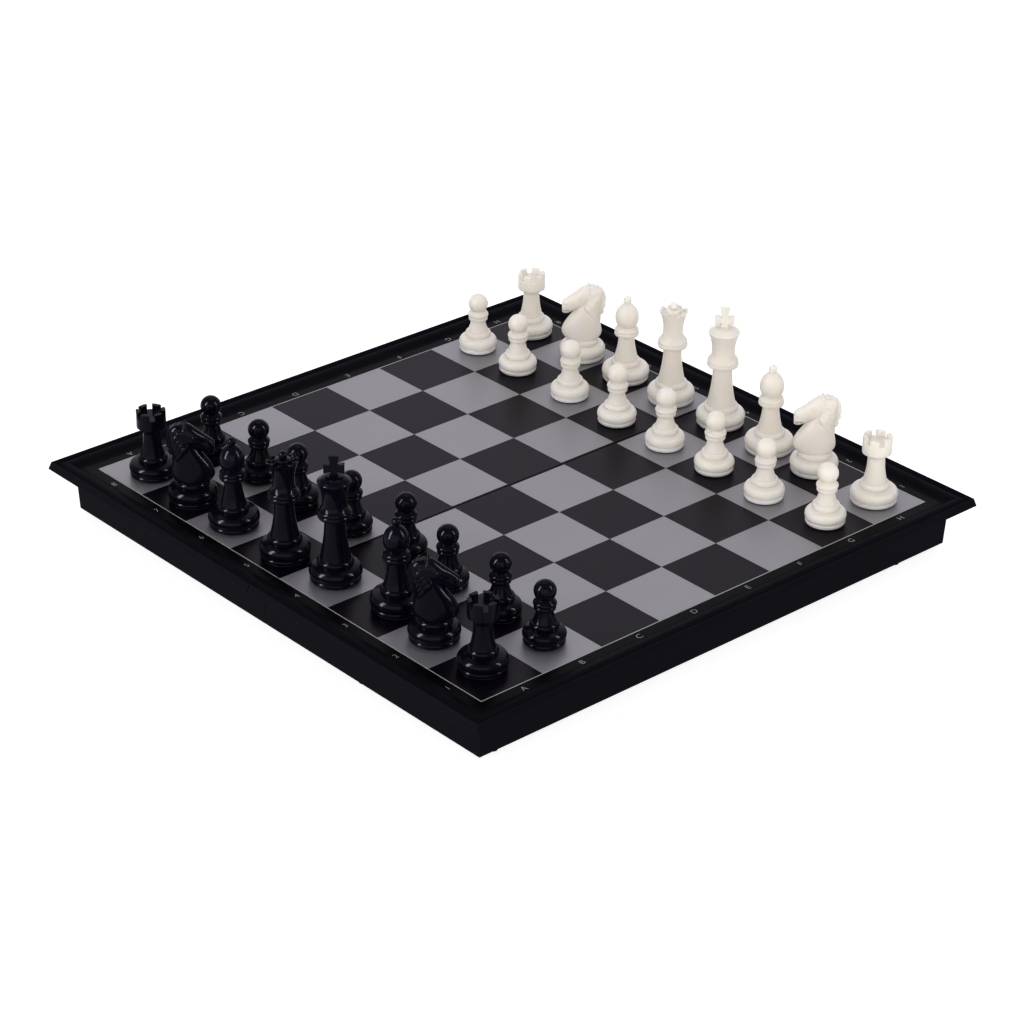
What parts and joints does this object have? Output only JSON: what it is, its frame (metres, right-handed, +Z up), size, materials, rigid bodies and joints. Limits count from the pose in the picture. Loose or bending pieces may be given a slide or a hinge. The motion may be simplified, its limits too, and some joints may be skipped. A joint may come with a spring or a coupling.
{
  "type": "folding magnetic chess set",
  "caption": "Folding travel chess set: two hinged hollow trays carry a checkered steel-backed playing surface with a raised rim, and magnetic chessmen stand on it.",
  "frame": {"origin": "on the table, under the middle of the fold line of the open board", "axes": "+X along the fold from the a file to the h file, +Y across the fold from the first rank to the eighth, +Z up out of the playing surface"},
  "size_m": [0.3156, 0.318, 0.0872],
  "materials": {
    "tray_plastic": "satin moulded black",
    "steel": "plain sheet steel",
    "dark_print": "charcoal printed film",
    "light_foil": "silver-grey satin foil",
    "pin_steel": "drawn steel wire",
    "ivory_plastic": "moulded ivory, fine matte",
    "black_plastic": "moulded black, polished"
  },
  "bodies": {
    "near_half": {"near_tray": "tray_plastic", "near_steel_plate": "steel", "near_playing_sheet": "dark_print", "near_light_squares": "light_foil", "left_hinge_pin": "pin_steel", "right_hinge_pin": "pin_steel"},
    "far_half": {"far_tray": "tray_plastic", "far_steel_plate": "steel", "far_playing_sheet": "dark_print", "far_light_squares": "light_foil"},
    "white_bishop_3": {"white_bishop_3": "ivory_plastic"},
    "white_bishop_6": {"white_bishop_6": "ivory_plastic"},
    "white_king": {"white_king": "ivory_plastic"},
    "white_knight_2": {"white_knight_2": "ivory_plastic"},
    "white_knight_7": {"white_knight_7": "ivory_plastic"},
    "white_pawn_1": {"white_pawn_1": "ivory_plastic"},
    "white_pawn_2": {"white_pawn_2": "ivory_plastic"},
    "white_pawn_3": {"white_pawn_3": "ivory_plastic"},
    "white_pawn_4": {"white_pawn_4": "ivory_plastic"},
    "white_pawn_5": {"white_pawn_5": "ivory_plastic"},
    "white_pawn_6": {"white_pawn_6": "ivory_plastic"},
    "white_pawn_7": {"white_pawn_7": "ivory_plastic"},
    "white_pawn_8": {"white_pawn_8": "ivory_plastic"},
    "white_queen": {"white_queen": "ivory_plastic"},
    "white_rook_1": {"white_rook_1": "ivory_plastic"},
    "white_rook_8": {"white_rook_8": "ivory_plastic"},
    "black_bishop_3": {"black_bishop_3": "black_plastic"},
    "black_bishop_6": {"black_bishop_6": "black_plastic"},
    "black_king": {"black_king": "black_plastic"},
    "black_knight_2": {"black_knight_2": "black_plastic"},
    "black_knight_7": {"black_knight_7": "black_plastic"},
    "black_pawn_1": {"black_pawn_1": "black_plastic"},
    "black_pawn_2": {"black_pawn_2": "black_plastic"},
    "black_pawn_3": {"black_pawn_3": "black_plastic"},
    "black_pawn_4": {"black_pawn_4": "black_plastic"},
    "black_pawn_5": {"black_pawn_5": "black_plastic"},
    "black_pawn_6": {"black_pawn_6": "black_plastic"},
    "black_pawn_7": {"black_pawn_7": "black_plastic"},
    "black_pawn_8": {"black_pawn_8": "black_plastic"},
    "black_queen": {"black_queen": "black_plastic"},
    "black_rook_1": {"black_rook_1": "black_plastic"},
    "black_rook_8": {"black_rook_8": "black_plastic"}
  },
  "joints": [
    {"name": "board_fold", "type": "hinge", "parent": "near_half", "child": "far_half", "pos_m": [0, 0, 0.00185], "axis": [-1, 0, 0], "range_deg": [0, 180]},
    {"name": "lift_white_bishop_3", "type": "slide", "parent": "near_half", "child": "white_bishop_3", "axis": [0, 0, 1], "range_m": [0, 0.07]},
    {"name": "lift_white_bishop_6", "type": "slide", "parent": "far_half", "child": "white_bishop_6", "axis": [0, 0, 1], "range_m": [0, 0.07]},
    {"name": "lift_white_king", "type": "slide", "parent": "near_half", "child": "white_king", "axis": [0, 0, 1], "range_m": [0, 0.07]},
    {"name": "lift_white_knight_2", "type": "slide", "parent": "near_half", "child": "white_knight_2", "axis": [0, 0, 1], "range_m": [0, 0.07]},
    {"name": "lift_white_knight_7", "type": "slide", "parent": "far_half", "child": "white_knight_7", "axis": [0, 0, 1], "range_m": [0, 0.07]},
    {"name": "lift_white_pawn_1", "type": "slide", "parent": "near_half", "child": "white_pawn_1", "axis": [0, 0, 1], "range_m": [0, 0.07]},
    {"name": "lift_white_pawn_2", "type": "slide", "parent": "near_half", "child": "white_pawn_2", "axis": [0, 0, 1], "range_m": [0, 0.07]},
    {"name": "lift_white_pawn_3", "type": "slide", "parent": "near_half", "child": "white_pawn_3", "axis": [0, 0, 1], "range_m": [0, 0.07]},
    {"name": "lift_white_pawn_4", "type": "slide", "parent": "near_half", "child": "white_pawn_4", "axis": [0, 0, 1], "range_m": [0, 0.07]},
    {"name": "lift_white_pawn_5", "type": "slide", "parent": "far_half", "child": "white_pawn_5", "axis": [0, 0, 1], "range_m": [0, 0.07]},
    {"name": "lift_white_pawn_6", "type": "slide", "parent": "far_half", "child": "white_pawn_6", "axis": [0, 0, 1], "range_m": [0, 0.07]},
    {"name": "lift_white_pawn_7", "type": "slide", "parent": "far_half", "child": "white_pawn_7", "axis": [0, 0, 1], "range_m": [0, 0.07]},
    {"name": "lift_white_pawn_8", "type": "slide", "parent": "far_half", "child": "white_pawn_8", "axis": [0, 0, 1], "range_m": [0, 0.07]},
    {"name": "lift_white_queen", "type": "slide", "parent": "far_half", "child": "white_queen", "axis": [0, 0, 1], "range_m": [0, 0.07]},
    {"name": "lift_white_rook_1", "type": "slide", "parent": "near_half", "child": "white_rook_1", "axis": [0, 0, 1], "range_m": [0, 0.07]},
    {"name": "lift_white_rook_8", "type": "slide", "parent": "far_half", "child": "white_rook_8", "axis": [0, 0, 1], "range_m": [0, 0.07]},
    {"name": "lift_black_bishop_3", "type": "slide", "parent": "near_half", "child": "black_bishop_3", "axis": [0, 0, 1], "range_m": [0, 0.07]},
    {"name": "lift_black_bishop_6", "type": "slide", "parent": "far_half", "child": "black_bishop_6", "axis": [0, 0, 1], "range_m": [0, 0.07]},
    {"name": "lift_black_king", "type": "slide", "parent": "near_half", "child": "black_king", "axis": [0, 0, 1], "range_m": [0, 0.07]},
    {"name": "lift_black_knight_2", "type": "slide", "parent": "near_half", "child": "black_knight_2", "axis": [0, 0, 1], "range_m": [0, 0.07]},
    {"name": "lift_black_knight_7", "type": "slide", "parent": "far_half", "child": "black_knight_7", "axis": [0, 0, 1], "range_m": [0, 0.07]},
    {"name": "lift_black_pawn_1", "type": "slide", "parent": "near_half", "child": "black_pawn_1", "axis": [0, 0, 1], "range_m": [0, 0.07]},
    {"name": "lift_black_pawn_2", "type": "slide", "parent": "near_half", "child": "black_pawn_2", "axis": [0, 0, 1], "range_m": [0, 0.07]},
    {"name": "lift_black_pawn_3", "type": "slide", "parent": "near_half", "child": "black_pawn_3", "axis": [0, 0, 1], "range_m": [0, 0.07]},
    {"name": "lift_black_pawn_4", "type": "slide", "parent": "near_half", "child": "black_pawn_4", "axis": [0, 0, 1], "range_m": [0, 0.07]},
    {"name": "lift_black_pawn_5", "type": "slide", "parent": "far_half", "child": "black_pawn_5", "axis": [0, 0, 1], "range_m": [0, 0.07]},
    {"name": "lift_black_pawn_6", "type": "slide", "parent": "far_half", "child": "black_pawn_6", "axis": [0, 0, 1], "range_m": [0, 0.07]},
    {"name": "lift_black_pawn_7", "type": "slide", "parent": "far_half", "child": "black_pawn_7", "axis": [0, 0, 1], "range_m": [0, 0.07]},
    {"name": "lift_black_pawn_8", "type": "slide", "parent": "far_half", "child": "black_pawn_8", "axis": [0, 0, 1], "range_m": [0, 0.07]},
    {"name": "lift_black_queen", "type": "slide", "parent": "far_half", "child": "black_queen", "axis": [0, 0, 1], "range_m": [0, 0.07]},
    {"name": "lift_black_rook_1", "type": "slide", "parent": "near_half", "child": "black_rook_1", "axis": [0, 0, 1], "range_m": [0, 0.07]},
    {"name": "lift_black_rook_8", "type": "slide", "parent": "far_half", "child": "black_rook_8", "axis": [0, 0, 1], "range_m": [0, 0.07]}
  ]
}
